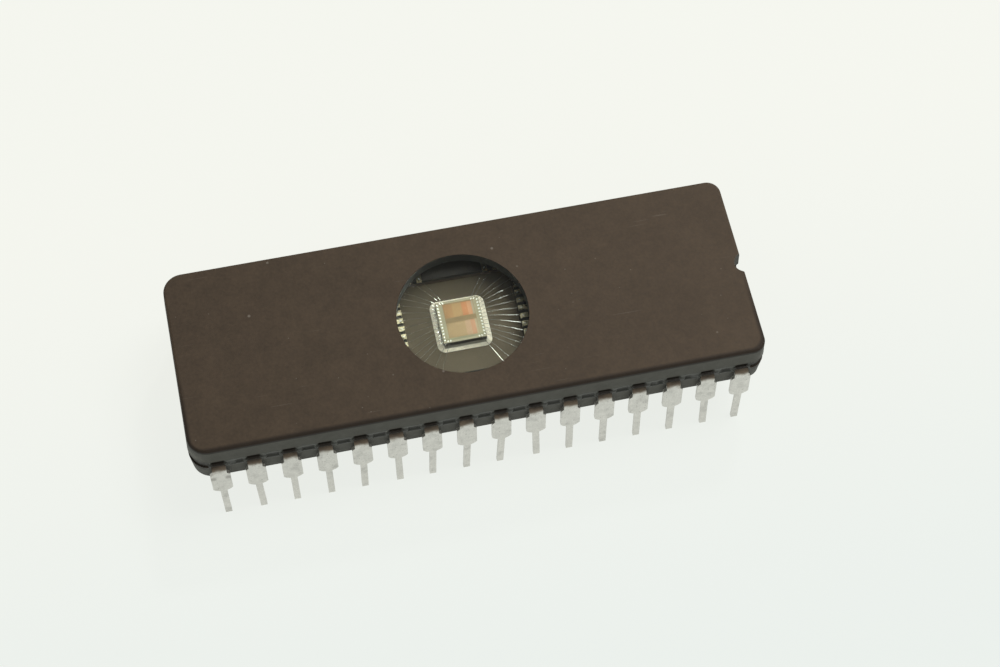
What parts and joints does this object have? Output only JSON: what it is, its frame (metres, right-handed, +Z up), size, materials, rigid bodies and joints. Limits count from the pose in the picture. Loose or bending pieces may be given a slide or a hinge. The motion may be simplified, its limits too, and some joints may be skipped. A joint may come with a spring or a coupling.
{
  "type": "windowed ceramic memory chip",
  "caption": "Dark ceramic dual in-line package with a round glass window over its die, a half-round index notch and two rows of splayed tin-plated leads.",
  "frame": {"origin": "centre of the package on the plane on which the lead tips stand", "axes": "+X along the body towards the index notch, +Y across it towards the row that counts from 1, +Z up out of the window"},
  "size_m": [0.042, 0.0168, 0.0083],
  "materials": {
    "ceramic": "matte pressed alumina, dark brown",
    "window_glass": "polished clear glass with a faint green tint",
    "sealing_glass": "opaque grey sealing glass, satin",
    "silicon": "polished, patterned silicon",
    "silver_glass": "matte silver-filled glass",
    "lead_metal": "tin plate, satin and a little stained",
    "wire_metal": "bright drawn wire"
  },
  "bodies": {
    "root": {"ceramic_base": "ceramic", "ceramic_cap": "ceramic", "window_lens": "window_glass", "sealing_glass": "sealing_glass", "silicon_die": "silicon", "die_attach": "silver_glass", "lead_01": "lead_metal", "lead_02": "lead_metal", "lead_03": "lead_metal", "lead_04": "lead_metal", "lead_05": "lead_metal", "lead_06": "lead_metal", "lead_07": "lead_metal", "lead_08": "lead_metal", "lead_09": "lead_metal", "lead_10": "lead_metal", "lead_11": "lead_metal", "lead_12": "lead_metal", "lead_13": "lead_metal", "lead_14": "lead_metal", "lead_15": "lead_metal", "lead_16": "lead_metal", "lead_17": "lead_metal", "lead_18": "lead_metal", "lead_19": "lead_metal", "lead_20": "lead_metal", "lead_21": "lead_metal", "lead_22": "lead_metal", "lead_23": "lead_metal", "lead_24": "lead_metal", "lead_25": "lead_metal", "lead_26": "lead_metal", "lead_27": "lead_metal", "lead_28": "lead_metal", "lead_29": "lead_metal", "lead_30": "lead_metal", "lead_31": "lead_metal", "lead_32": "lead_metal", "bond_wires_left": "wire_metal", "bond_wires_right": "wire_metal", "bond_wires_near": "wire_metal", "bond_wires_far": "wire_metal"}
  },
  "joints": []
}
